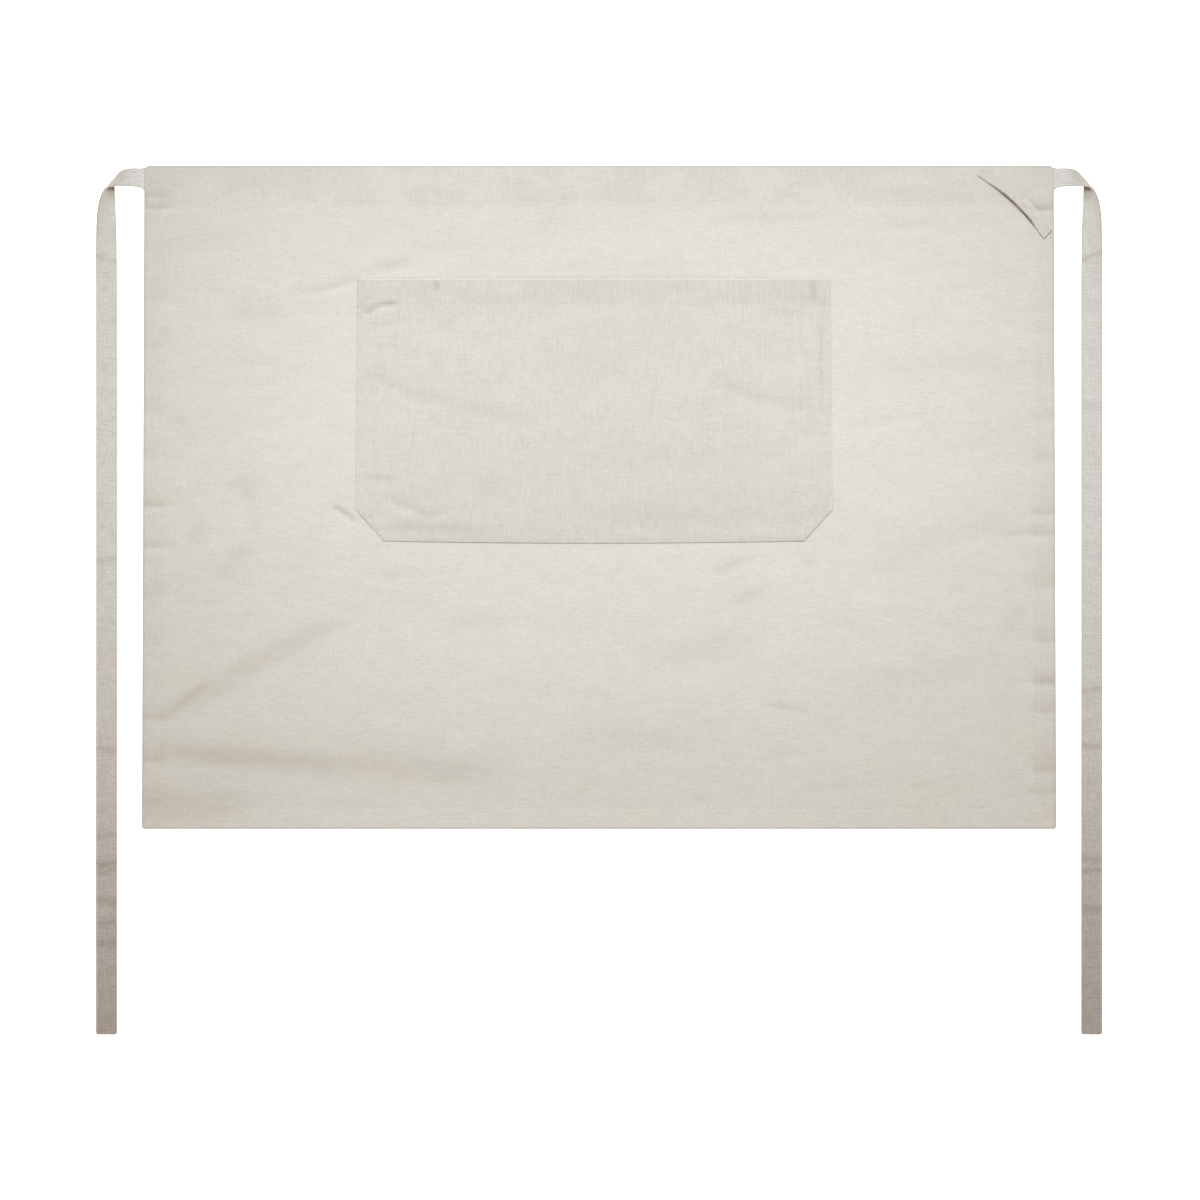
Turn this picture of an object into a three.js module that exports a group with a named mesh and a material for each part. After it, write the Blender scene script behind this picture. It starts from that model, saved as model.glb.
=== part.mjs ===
// A waist apron of plain linen, lying on a table with its front up.
// Millimetres, +Z up. The waist edge points to +Y and the origin is on the table,
// in the middle of the apron's outline, ties included.

import * as THREE from 'three';
import { mergeVertices } from 'three/addons/utils/BufferGeometryUtils.js';

// The cloth
const cloth = 1;
const hemCloth = 2;
const seamGap = 0.3;

// The panel
const panelWidth = 809;
const panelHeight = 590;
const panelFlare = 2.2;
const waistHem = 35;
const sideHem = 16.5;
const bottomHem = 20;
const hemStep = 3;
const upperCorner = 5;
const lowerCorner = 2.5;
const looseRise = 0.6;
const foldHeight = 2.4;
const foldFade = 45;
const panelMesh = 24;

// The pocket
const pocketWidth = 420.5;
const pocketHeight = 233;
const pocketFlare = 2.2;
const pocketOffset = -4.5;
const pocketDrop = 101;
const pocketHem = 21;
const pocketCutAcross = 25.5;
const pocketCutUp = 28;
const pocketSag = 2;
const pocketBelly = 6.5;
const pocketFullHeight = 0.55;
const pocketMargin = 10;
const pocketMesh = 17;

// The ties
const tieWidth = 19;
const tieLength = 792;
const tieCloth = 1;
const tieSeat = 11.5;
const tieEndCut = 1.5;
const tieTurnCells = 30;
const tieMesh = 24;

// The hanging loop
const loopWidth = 11;
const loopSpan = 82;
const loopCloth = 1;
const loopInset = 5.5;
const loopDrop = 61.6;
const loopSlant = THREE.MathUtils.degToRad(43.6);
const loopBow = 4.4;
const loopLift = 6.5;
const loopSewn = 10;
const loopSteps = 22;

const linen = { panel: 0xddd9cd, pocket: 0xdcd8ce, tie: 0xcbc4bb, loop: 0xdad8d2 };

// What follows from them
const halfPanel = panelWidth / 2;
const panelFace = looseRise + cloth;

// Soft folds of the panel: the middle as shares of its width and height, x from the middle
// and y down from the waist edge, length and breadth as shares of its width, height as a
// share of foldHeight, and the turn of its length from +X in degrees.
const folds = [
  { x: -0.27, y: 0.925, length: 0.26, breadth: 0.032, height: 1.0, turn: -5 },
  { x: -0.39, y: 0.74, length: 0.11, breadth: 0.03, height: 0.8, turn: 38 },
  { x: -0.385, y: 0.56, length: 0.1, breadth: 0.034, height: 0.6, turn: 80 },
  { x: -0.38, y: 0.3, length: 0.09, breadth: 0.04, height: 0.5, turn: -35 },
  { x: -0.12, y: 0.78, length: 0.2, breadth: 0.04, height: 0.6, turn: 6 },
  { x: 0.16, y: 0.86, length: 0.2, breadth: 0.038, height: 0.6, turn: -3 },
  { x: 0.3, y: 0.7, length: 0.12, breadth: 0.04, height: 0.7, turn: 24 },
  { x: 0.39, y: 0.45, length: 0.1, breadth: 0.04, height: 0.5, turn: 74 },
  { x: 0.36, y: 0.22, length: 0.1, breadth: 0.036, height: 0.5, turn: 20 },
  { x: 0.02, y: 0.115, length: 0.24, breadth: 0.03, height: 0.45, turn: 2 },
];

/** Places from first to last, each span cut into even cells no longer than its mesh. */
function ruled(places, mesh) {
  const lines = [places[0]];
  for (let i = 1; i < places.length; i += 1) {
    const [from, to] = [places[i - 1], places[i]];
    const cells = Math.max(1, Math.ceil((to - from) / mesh - 1e-6));
    for (let cell = 1; cell <= cells; cell += 1) {
      lines.push(from + ((to - from) * cell) / cells);
    }
  }
  return lines;
}

/** One closed wall of cloth: place turns a column, a row and a face (1 or -1) into a point. */
function clothWall(columns, rows, place) {
  const box = new THREE.BoxGeometry(1, 1, 1, columns.length - 1, rows.length - 1, 1);
  box.deleteAttribute('normal');
  box.deleteAttribute('uv');
  const wall = mergeVertices(box);
  const points = wall.getAttribute('position');
  for (let i = 0; i < points.count; i += 1) {
    const column = columns[Math.round((points.getX(i) + 0.5) * (columns.length - 1))];
    const row = rows[Math.round((points.getY(i) + 0.5) * (rows.length - 1))];
    const point = place(column, row, Math.sign(points.getZ(i)));
    points.setXYZ(i, point.x, point.y, point.z);
  }
  wall.computeVertexNormals();
  return wall;
}

/** How far a rounded corner draws the side in, at a distance from the edge it meets. */
function cornerInset(distance, radius) {
  const left = Math.max(0, radius - distance);
  return radius - Math.sqrt(radius ** 2 - left ** 2);
}

/** Half the panel's width at a height y, y being 0 at the waist edge. */
function panelHalfWidth(y) {
  return halfPanel + (panelFlare * -y) / panelHeight;
}

/** How far a spot lies outside the patch of panel that the pocket covers. */
function outsidePocket(x, y) {
  const across = Math.abs(x - pocketOffset) - pocketWidth / 2 - pocketFlare - pocketMargin;
  const along = Math.abs(y + pocketDrop + pocketHeight / 2) - pocketHeight / 2 - pocketMargin;
  return Math.max(across, along, 0);
}

/** The height of the panel's soft folds, which fade out at the hems and under the pocket. */
function foldRise(x, y) {
  const toHem = Math.min(
    panelHalfWidth(y) - Math.abs(x) - sideHem,
    -y - waistHem,
    panelHeight + y - bottomHem,
  );
  const fade = THREE.MathUtils.smoothstep(Math.min(toHem, outsidePocket(x, y)), 0, foldFade);
  let rise = 0;
  for (const fold of folds) {
    const turn = THREE.MathUtils.degToRad(fold.turn);
    const away = new THREE.Vector2(x - fold.x * panelWidth, y + fold.y * panelHeight);
    away.rotateAround(new THREE.Vector2(0, 0), -turn);
    const along = away.x / (fold.length * panelWidth);
    const across = away.y / (fold.breadth * panelWidth);
    rise += fold.height * Math.exp(-along * along - across * across);
  }
  return foldHeight * fade * rise;
}

/** The panel: single cloth within, and twice as thick where its edges are turned back. */
function makePanel() {
  const pocketReach = pocketWidth / 2 + pocketFlare + pocketMargin;
  const columns = ruled(
    [
      -halfPanel,
      -halfPanel + sideHem - hemStep / 2,
      -halfPanel + sideHem + hemStep / 2,
      pocketOffset - pocketReach,
      pocketOffset + pocketReach,
      halfPanel - sideHem - hemStep / 2,
      halfPanel - sideHem + hemStep / 2,
      halfPanel,
    ],
    panelMesh,
  );
  const rows = ruled(
    [
      -panelHeight,
      -panelHeight + lowerCorner,
      -panelHeight + bottomHem - hemStep / 2,
      -panelHeight + bottomHem + hemStep / 2,
      -pocketDrop - pocketHeight - pocketMargin,
      -pocketDrop + pocketMargin,
      -waistHem - hemStep / 2,
      -waistHem + hemStep / 2,
      -upperCorner,
      -upperCorner * (1 - Math.SQRT1_2),
      0,
    ],
    panelMesh,
  );
  return clothWall(columns, rows, (column, y, face) => {
    const reach = panelHalfWidth(y);
    const inset = Math.max(
      cornerInset(-y, upperCorner),
      cornerInset(panelHeight + y, lowerCorner),
    );
    const flared = (column * reach) / halfPanel;
    const x = THREE.MathUtils.clamp(flared, inset - reach, reach - inset);
    const inHem =
      halfPanel - Math.abs(column) < sideHem || -y < waistHem || panelHeight + y < bottomHem;
    const under = inHem ? 0 : looseRise + foldRise(x, y);
    const thick = inHem ? hemCloth : cloth;
    return new THREE.Vector3(x, y, face > 0 ? under + thick : under);
  });
}

/** Half the pocket's width at a distance below its mouth. */
function pocketHalfWidth(down) {
  const cut = Math.max(0, down - (pocketHeight - pocketCutUp)) / pocketCutUp;
  return pocketWidth / 2 + (pocketFlare * down) / pocketHeight - pocketCutAcross * cut;
}

/** The pocket: sewn down at its sides and lower edge, and standing a little open above. */
function makePocket() {
  const columns = ruled([-1, 1], (2 * pocketMesh) / pocketWidth);
  const rows = ruled(
    [
      -pocketHeight,
      -pocketHeight + pocketCutUp,
      -pocketHem - hemStep / 2,
      -pocketHem + hemStep / 2,
      0,
    ],
    pocketMesh,
  );
  return clothWall(columns, rows, (across, row, face) => {
    const down = -row;
    const share = 1 - down / pocketHeight;
    const full = Math.sin((Math.min(1, share / pocketFullHeight) * Math.PI) / 2);
    const belly = pocketBelly * (1 - across ** 4) * full;
    const under = panelFace + seamGap + belly;
    const thick = down < pocketHem ? hemCloth : cloth;
    return new THREE.Vector3(
      pocketOffset + across * pocketHalfWidth(down),
      row - pocketDrop - pocketSag * (1 - across ** 2) * (1 - share),
      face > 0 ? under + thick : under,
    );
  });
}

// The tie's turn from the seam to where it lies flat. Its upper and lower edges as shares of
// tieWidth: out from the panel, up from the tie's middle at the seam, and high above where
// the tie lies on the table.
const tieTurn = [
  { upper: [0, 0.46], lower: [0, -0.46], high: [0.05, 0.05] },
  { upper: [0.35, 0.48], lower: [0.58, -0.38], high: [0.12, 0.19] },
  { upper: [0.68, 0.46], lower: [1.1, -0.37], high: [0.29, 0.41] },
  { upper: [0.94, 0.39], lower: [1.5, -0.43], high: [0.46, 0.62] },
  { upper: [1.1, 0.28], lower: [1.77, -0.52], high: [0.53, 0.71] },
  { upper: [1.26, 0.09], lower: [1.9, -0.75], high: [0.48, 0.69] },
  { upper: [1.36, -0.17], lower: [1.99, -1.01], high: [0.29, 0.64] },
  { upper: [1.37, -0.5], lower: [2.05, -1.34], high: [0.1, 0.55] },
  { upper: [1.33, -1.01], lower: [2.11, -1.76], high: [0.01, 0.45] },
  { upper: [1.31, -1.57], lower: [2.15, -2.23], high: [0, 0.35] },
  { upper: [1.29, -2.42], lower: [2.19, -2.79], high: [0, 0.23] },
  { upper: [1.27, -3.59], lower: [2.22, -3.68], high: [0, 0.12] },
  { upper: [1.26, -4.99], lower: [2.24, -4.99], high: [0, 0] },
];

/** One edge of the turn as a smooth curve, x out, y up from the waist edge and z its height. */
function tieEdge(edge, column) {
  const points = tieTurn.map((row) => {
    const [out, up] = row[edge];
    const place = new THREE.Vector3(out, up, row.high[column]).multiplyScalar(tieWidth);
    return place.add(new THREE.Vector3(seamGap, -tieSeat, tieCloth / 2));
  });
  return new THREE.CatmullRomCurve3(points, false, 'catmullrom');
}

const tieUpper = tieEdge('upper', 0);
const tieLower = tieEdge('lower', 1);
const tieMiddle = new THREE.CatmullRomCurve3(
  tieUpper.points.map((point, i) => point.clone().lerp(tieLower.points[i], 0.5)),
  false,
  'catmullrom',
);
const tieFall = tieLength - tieMiddle.getLength();
const tieDrop = tieFall - tieMiddle.points.at(-1).y;
const waistPlace = Math.max(panelHeight, tieDrop) / 2;

/** A tie, side being -1 on the left and 1 on the right: a flat strip, turned under once. */
function makeTie(side) {
  const columns = [
    ...ruled([0, 1], 1 / tieTurnCells),
    ...ruled([1, 1 + (tieFall - tieEndCut) / tieFall], tieMesh / tieFall).slice(1),
    2,
  ];
  const rows = [-1, 0, 1];
  return clothWall(columns, rows, (station, row, face) => {
    const turned = Math.min(station, 1);
    const fallen = new THREE.Vector3(0, -tieFall * (station - turned), 0);
    const upper = tieUpper.getPoint(turned);
    const lower = tieLower.getPoint(turned);
    const width = station === 2 ? 1 - (2 * tieEndCut) / tieWidth : 1;
    const share = 0.5 + (side * row * width) / 2;
    const heading =
      station < 1
        ? tieLower.getTangent(station).lerp(tieUpper.getTangent(station), share)
        : new THREE.Vector3(0, -1, 0);
    const outwards = heading.cross(upper.clone().sub(lower)).normalize();
    const point = lower.lerp(upper, share).add(fallen);
    point.addScaledVector(outwards, (face * tieCloth) / 2);
    point.x = side * (panelHalfWidth(-tieSeat) + point.x);
    return point;
  });
}

/** The hanging loop: a strip sewn down at both ends, bowed and lifted between them. */
function makeLoop() {
  const sewnCells = Math.ceil((loopSteps * loopSewn) / loopSpan);
  const columns = [
    ...ruled([0, loopSewn], loopSewn / sewnCells),
    ...ruled([loopSewn, loopSpan - loopSewn], loopSpan / loopSteps).slice(1),
    ...ruled([loopSpan - loopSewn, loopSpan], loopSewn / sewnCells).slice(1),
  ];
  const rows = [-1, 0, 1];
  return clothWall(columns, rows, (along, row, face) => {
    const loose = THREE.MathUtils.clamp((along - loopSewn) / (loopSpan - 2 * loopSewn), 0, 1);
    const under = hemCloth + seamGap + loopLift * Math.sin(Math.PI * loose) ** 2;
    const bow = loopBow * Math.sin((Math.PI * along) / loopSpan);
    return new THREE.Vector3(
      along - loopSpan,
      (row * loopWidth) / 2 + bow,
      face > 0 ? under + loopCloth : under,
    );
  });
}

/** A named piece of cloth. */
function piece(name, geometry, color) {
  const material = new THREE.MeshStandardMaterial({ color, roughness: 0.9, metalness: 0 });
  const mesh = new THREE.Mesh(geometry, material);
  mesh.name = name;
  return mesh;
}

const loopPlace = new THREE.Group();
loopPlace.add(piece('hanging_loop', makeLoop(), linen.loop));
loopPlace.position.set(panelHalfWidth(-loopDrop) - loopInset, -loopDrop, 0);
loopPlace.rotation.z = -loopSlant;

const apron = new THREE.Group();
apron.add(
  piece('apron_panel', makePanel(), linen.panel),
  piece('pocket', makePocket(), linen.pocket),
  piece('tie_left', makeTie(-1), linen.tie),
  piece('tie_right', makeTie(1), linen.tie),
  loopPlace,
);
apron.position.y = waistPlace;

const model = new THREE.Group();
model.add(apron);

export default model;
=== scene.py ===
# A waist apron of plain linen, lying front up on a white table and seen from straight above.
import math
from collections import namedtuple

import bpy
import numpy as np
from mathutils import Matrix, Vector


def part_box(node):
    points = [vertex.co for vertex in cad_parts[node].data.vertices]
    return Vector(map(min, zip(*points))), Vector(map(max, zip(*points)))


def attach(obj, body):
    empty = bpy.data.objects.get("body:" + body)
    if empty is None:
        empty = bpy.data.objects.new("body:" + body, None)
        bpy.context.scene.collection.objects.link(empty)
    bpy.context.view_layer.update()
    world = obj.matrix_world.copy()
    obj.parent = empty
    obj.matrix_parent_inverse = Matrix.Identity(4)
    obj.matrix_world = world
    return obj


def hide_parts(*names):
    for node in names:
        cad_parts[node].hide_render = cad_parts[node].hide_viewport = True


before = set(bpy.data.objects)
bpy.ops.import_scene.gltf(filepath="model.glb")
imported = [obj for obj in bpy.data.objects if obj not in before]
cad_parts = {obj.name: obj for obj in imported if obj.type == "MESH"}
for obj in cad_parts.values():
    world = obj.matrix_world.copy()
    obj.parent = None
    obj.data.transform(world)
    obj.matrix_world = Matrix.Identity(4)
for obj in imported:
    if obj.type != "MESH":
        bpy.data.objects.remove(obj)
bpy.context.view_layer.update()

# Sizes are in millimetres unless a name says otherwise. Places on the apron are given as x from
# its middle and down from its waist edge.
mm = 0.001

# The panel
panel_low, panel_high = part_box("apron_panel")
waist_edge = panel_high.y / mm
panel_height = waist_edge - panel_low.y / mm
panel_flare = 2.2
half_panel = panel_high.x / mm - panel_flare
waist_hem = 35
side_hem = 16.5
bottom_hem = 20
thread_pitch = 0.55
upper_corner = 5
lower_corner = 2.5
corner_reach = 14
single_cloth = 0.8
hem_cloth = 2.0
hem_stitch_in = 1.6
hem_fold_radius = 0.6
lying_gap = 0.45
table_gap = 0.02
fold_depth = 0.9
# How dark the painted shade is in the creases of the panel and pocket, above the side hems' tucks and
# in the ties' creases
fold_painted_shade = 0.13
tuck_painted_shade = 0.75
tie_crease_painted_shade = 0.42
hem_drift = 7.5
hem_drift_ends = 190
panel_mesh = 2.5

# The pocket
pocket_low, pocket_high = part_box("pocket")
pocket_drop = waist_edge - pocket_high.y / mm
pocket_width = 420.5
pocket_height = 233
pocket_flare = 2.2
pocket_middle = (pocket_low.x + pocket_high.x) / 2 / mm
pocket_hem = 21
pocket_cut_across = 25.5
pocket_cut_up = 28
pocket_sag = 2
pocket_belly = 5.0
pocket_full_height = 0.55
pocket_turn_in = 11
pocket_stitch_in = 1.5
pocket_hem_stitch_in = 1.6
pocket_hem_stitch_sunk = 0.27
pocket_fold_radius = 0.7
pocket_mesh = 2.0

# The ties. Where a tie lies under its fold, and where its seam stops before the turn and goes on
# after it, are measured along the tie from its sewn end.
tie_low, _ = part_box("tie_left")
tie_bottom = waist_edge - tie_low.y / mm
tie_width = 19
tie_cloth = 0.9
tie_lying_gap = 0.5
tie_under_fold = 43
tie_seat = 11.5
tie_seam_gap = 0.3
tie_sewn_in = 4
tie_corner = 2.2
tie_stitch_in = 1.4
tie_seam_stops = 24
tie_seam_goes_on = 78
tie_mesh = 2.2

# The hanging loop
loop_width = 11
loop_span = 82
loop_cloth = 0.9
loop_inset = 5.5
loop_drop = 61.6
loop_slant = math.radians(43.6)
loop_bow = 4.4
loop_lift = 0.5
loop_sewn = 10
loop_stitch_rows = (2, 5.2, 8.4)
loop_fold_start = 45
loop_fold_end = 66

# Stitching
stitch_pitch = 2.6
stitch_share = 0.6
thread_radius = 0.27
groove_depth = 0.12
cloth_gap = 0.1

# Distances from a folded edge at which the cloth has a line of points, to keep the edge round
rim = (0, 0.12, 0.35, 0.7, 1.2)

Fold = namedtuple("Fold", "x down length breadth height turn bend")
Waves = namedtuple("Waves", "across down height seed")

# Folds and creases of the panel: middle as shares of its width and height, half length and
# breadth as shares of its width, height as a share of fold_depth, turn from +X in degrees, bend.
panel_folds = [
    Fold(-0.481, 0.045, 0.009, 0.0032, -0.6, 0, 0),
    Fold(-0.479, 0.063, 0.016, 0.0034, -0.45, 0, 0),
    Fold(-0.299, 0.186, 0.034, 0.0044, -0.8, 15, 0.1),
    Fold(-0.230, 0.153, 0.025, 0.0066, -0.75, 13, 0),
    Fold(-0.167, 0.124, 0.034, 0.0055, -0.4, 3, 0),
    Fold(-0.053, 0.087, 0.017, 0.0044, -0.35, 2, 0),
    Fold(-0.374, 0.225, 0.029, 0.0132, -0.6, -6, 0),
    Fold(-0.281, 0.525, 0.014, 0.0032, -1.7, -36, 0),
    Fold(-0.443, 0.560, 0.012, 0.0090, -0.5, 60, 0),
    Fold(-0.390, 0.492, 0.016, 0.0130, -0.8, -60, -0.15),
    Fold(-0.380, 0.535, 0.018, 0.0070, -0.5, -84, 0),
    Fold(-0.458, 0.397, 0.019, 0.0077, -0.5, -50, 0),
    Fold(-0.378, 0.299, 0.022, 0.0044, -0.3, 6, 0),
    Fold(-0.369, 0.330, 0.021, 0.0044, -0.3, 8, 0),
    Fold(-0.456, 0.810, 0.030, 0.0068, -1.1, 39, 0),
    Fold(-0.378, 0.757, 0.100, 0.0120, -1.0, 30, -0.04),
    Fold(-0.404, 0.605, 0.030, 0.0100, -0.5, 42, 0),
    Fold(-0.226, 0.619, 0.031, 0.0066, -0.4, 2, 0),
    Fold(-0.139, 0.694, 0.033, 0.0088, -0.4, 4, 0),
    Fold(-0.380, 0.899, 0.105, 0.0132, -1.7, -5, 0),
    Fold(-0.193, 0.914, 0.090, 0.0190, -1.0, -2, 0),
    Fold(-0.450, 0.970, 0.060, 0.0160, -1.3, 0, 0),
    Fold(-0.169, 0.931, 0.030, 0.0066, -0.4, -2, 0),
    Fold(0.187, 0.081, 0.061, 0.0066, -0.45, 2, 0),
    Fold(0.342, 0.090, 0.033, 0.0066, -0.4, 3, 0),
    Fold(0.285, 0.393, 0.015, 0.0066, -0.35, 8, 0),
    Fold(0.330, 0.383, 0.021, 0.0036, -0.25, 2, 0),
    Fold(0.398, 0.185, 0.033, 0.0036, -0.3, 3, 0),
    Fold(0.431, 0.203, 0.012, 0.0044, -0.3, 0, 0),
    Fold(0.148, 0.604, 0.022, 0.0060, -0.8, 24, 0),
    Fold(0.166, 0.652, 0.024, 0.0060, -0.7, 24, 0),
    Fold(0.231, 0.602, 0.008, 0.0066, -0.7, 23, 0),
    Fold(0.208, 0.820, 0.020, 0.0040, -0.8, -10, 0),
    Fold(0.462, 0.556, 0.018, 0.0050, -0.6, 5, 0),
    Fold(0.455, 0.690, 0.022, 0.0080, -0.5, 58, 0),
    Fold(0.206, 0.891, 0.022, 0.0044, -0.35, 10, 0),
    Fold(0.112, 0.954, 0.012, 0.0055, -0.35, 13, 0),
    Fold(0.257, 0.938, 0.034, 0.0066, -0.4, 4, 0),
    Fold(0.352, 0.938, 0.013, 0.0055, -0.4, 18, 0),
    Fold(0.111, 0.734, 0.067, 0.0154, -0.5, 12, 0),
    Fold(0.380, 0.565, 0.075, 0.0154, -0.5, 17, 0),
    Fold(0.358, 0.768, 0.084, 0.0143, -0.5, 11, 0),
    Fold(0.034, 0.870, 0.077, 0.0132, -0.45, -2, 0),
    Fold(0.394, 0.302, 0.064, 0.0132, -0.4, -6, 0),
    Fold(-0.444, 0.120, 0.039, 0.0132, -0.4, 8, 0),
    Fold(0.484, 0.064, 0.013, 0.0030, -1.2, -6, 0),
]

# Short ripples across the side hems, where the stitching draws the cloth in: side, how far down
# as a share of the panel's height, breadth as a share of its width, and height. The deep ones are
# tucks, which the panel's mesh follows closely.
HemRipple = namedtuple("HemRipple", "side down breadth height")
tuck_height = -0.44
hem_ripples = [
    HemRipple(-1, 0.047, 0.0028, -0.5),
    HemRipple(-1, 0.064, 0.0028, -0.48),
    HemRipple(-1, 0.203, 0.0088, -0.3),
    HemRipple(-1, 0.271, 0.0099, -0.3),
    HemRipple(-1, 0.369, 0.0099, -0.3),
    HemRipple(-1, 0.436, 0.0088, -0.3),
    HemRipple(-1, 0.513, 0.0044, -0.5),
    HemRipple(-1, 0.574, 0.0044, -0.45),
    HemRipple(-1, 0.649, 0.0099, -0.35),
    HemRipple(-1, 0.715, 0.0099, -0.3),
    HemRipple(-1, 0.833, 0.0049, -0.5),
    HemRipple(-1, 0.896, 0.0055, -0.5),
    HemRipple(-1, 0.957, 0.0077, -0.3),
    HemRipple(1, 0.066, 0.0034, -0.55),
    HemRipple(1, 0.251, 0.0077, -0.3),
    HemRipple(1, 0.316, 0.0099, -0.25),
    HemRipple(1, 0.384, 0.0099, -0.3),
    HemRipple(1, 0.444, 0.0099, -0.3),
    HemRipple(1, 0.524, 0.0055, -0.5),
    HemRipple(1, 0.556, 0.0055, -0.5),
    HemRipple(1, 0.632, 0.0099, -0.46),
    HemRipple(1, 0.715, 0.0099, -0.48),
    HemRipple(1, 0.779, 0.0060, -0.55),
    HemRipple(1, 0.821, 0.0066, -0.5),
    HemRipple(1, 0.911, 0.0088, -0.55),
    HemRipple(1, 0.946, 0.0066, -0.4),
]

# Folds of the pocket, as shares of its own width and height
pocket_folds = [
    Fold(-0.488, 0.114, 0.016, 0.0063, -1.3, -42, 0),
    Fold(-0.467, 0.118, 0.016, 0.0063, -1.2, 32, 0),
    Fold(-0.436, 0.099, 0.021, 0.0063, -1.1, 6, 0),
    Fold(-0.455, 0.183, 0.041, 0.0085, -0.3, 9, 0),
    Fold(-0.316, 0.179, 0.031, 0.0106, -0.4, -38, 0),
    Fold(-0.441, 0.397, 0.062, 0.0127, -0.55, -26, 0),
    Fold(-0.321, 0.475, 0.071, 0.0148, -0.5, -13, 0),
    Fold(-0.198, 0.521, 0.059, 0.0169, -0.35, -7, 0),
    Fold(-0.463, 0.765, 0.036, 0.0085, -0.6, -2, 0),
    Fold(-0.390, 0.874, 0.051, 0.0085, -0.6, -22, 0),
    Fold(-0.329, 0.897, 0.019, 0.0085, -0.6, 19, 0),
    Fold(-0.335, 0.958, 0.098, 0.0148, -0.8, -1, 0),
    Fold(0.179, 0.040, 0.033, 0.0085, -0.35, -6, 0),
    Fold(-0.027, 0.065, 0.040, 0.0127, -0.35, -12, 0),
    Fold(0.403, 0.137, 0.046, 0.0085, -0.35, -3, 0),
    Fold(0.290, 0.414, 0.047, 0.0148, -0.5, -31, 0),
    Fold(0.405, 0.481, 0.080, 0.0148, -0.5, -9, 0),
    Fold(0.470, 0.588, 0.027, 0.0169, -0.35, 0, 0),
    Fold(0.170, 0.975, 0.026, 0.0085, -0.7, -2, 0),
    Fold(0.480, 0.893, 0.019, 0.0106, -0.8, 20, 0),
    Fold(-0.009, 0.347, 0.108, 0.0254, -0.3, -11, 0),
    Fold(0.097, 0.691, 0.171, 0.0296, -0.35, 7, 0),
    Fold(0.182, 0.910, 0.169, 0.0212, -0.35, 2, 0),
    Fold(-0.178, 0.076, 0.063, 0.0127, -0.25, 2, 0),
]

# Darker places on the pocket, as shares of its width and height: the middle, half the width and
# half the height of the place, and how dark it is. They are the bar of stitches near the left end
# of its hem, and painted shade along the edges of what is folded under at the right end.
Mark = namedtuple("Mark", "x down across tall dark")
pocket_marks = [
    Mark(-0.332, 0.027, 0.005, 0.017, 0.32),
    Mark(0.464, 0.044, 0.007, 0.045, 0.22),
    Mark(0.483, 0.096, 0.014, 0.008, 0.14),
    Mark(0.480, 0.300, 0.005, 0.205, 0.13),
]

# Small random waves that no cloth lies without, from wide ones to fine ones
panel_waves = [
    Waves(260, 120, 0.42, 11),
    Waves(130, 46, 0.24, 12),
    Waves(62, 23, 0.11, 13),
    Waves(27, 11, 0.04, 14),
]
pocket_waves = [
    Waves(150, 90, 0.2, 21),
    Waves(60, 40, 0.1, 22),
    Waves(22, 16, 0.04, 23),
]
tie_waves = [
    Waves(60, 70, 0.3, 31),
    Waves(30, 24, 0.12, 32),
]

# The tie's turn from the seam to where it lies flat: its two edges as shares of its width, out
# from the panel, up from the tie's middle at the seam, and high above where it lies on the table.
TieTurn = namedtuple("TieTurn", "upper_out upper_up upper_high lower_out lower_up lower_high")
tie_turn = [
    TieTurn(0, 0.51, 0.05, 0, -0.54, 0.05),
    TieTurn(0.12, 0.475, 0.06, 0.17, -0.42, 0.07),
    TieTurn(0.35, 0.48, 0.12, 0.58, -0.38, 0.19),
    TieTurn(0.68, 0.46, 0.29, 1.1, -0.37, 0.41),
    TieTurn(0.94, 0.39, 0.46, 1.5, -0.43, 0.62),
    TieTurn(1.1, 0.28, 0.53, 1.77, -0.52, 0.71),
    TieTurn(1.26, 0.09, 0.48, 1.93, -0.74, 0.69),
    TieTurn(1.36, -0.17, 0.29, 2.04, -1.01, 0.64),
    TieTurn(1.37, -0.5, 0.1, 2.12, -1.34, 0.55),
    TieTurn(1.35, -1.01, 0.01, 2.18, -1.76, 0.45),
    TieTurn(1.32, -1.57, 0, 2.21, -2.23, 0.35),
    TieTurn(1.29, -2.42, 0, 2.23, -2.79, 0.23),
    TieTurn(1.27, -3.59, 0, 2.24, -3.68, 0.12),
    TieTurn(1.26, -4.99, 0, 2.24, -4.99, 0),
]

# Creases across the ties: side, how far down as a share of the panel's height, breadth, height
# and how far the crease slants from one edge to the other
TieCrease = namedtuple("TieCrease", "side down breadth height slant")
tie_creases = [
    TieCrease(-1, 0.141, 2.2, 0.4, -5),
    TieCrease(-1, 0.594, 3.0, 0.35, 2),
    TieCrease(-1, 0.88, 3.0, 0.4, -2),
    TieCrease(-1, 1.010, 3.0, 0.4, 2),
    TieCrease(-1, 1.052, 6.0, 0.6, 1),
    TieCrease(-1, 1.066, 1.6, 0.3, 3),
    TieCrease(-1, 1.108, 3.5, 0.6, -3),
    TieCrease(-1, 1.141, 3.5, 0.55, 3),
    TieCrease(-1, 1.170, 5.0, 0.45, 0),
    TieCrease(1, 0.136, 2.5, 0.5, -8),
    TieCrease(1, 0.36, 4.0, 0.12, 2),
    TieCrease(1, 0.79, 3.0, 0.4, -2),
    TieCrease(1, 0.874, 2.5, 0.5, 1),
    TieCrease(1, 1.045, 3.5, 0.5, 2),
    TieCrease(1, 1.062, 2.2, 0.6, -1),
    TieCrease(1, 1.120, 4.0, 0.5, 2),
]


def ease(value, start, end):
    """0 before start, 1 after end and smooth between them."""
    share = np.clip((value - start) / (end - start), 0, 1)
    return share * share * (3 - 2 * share)


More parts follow.
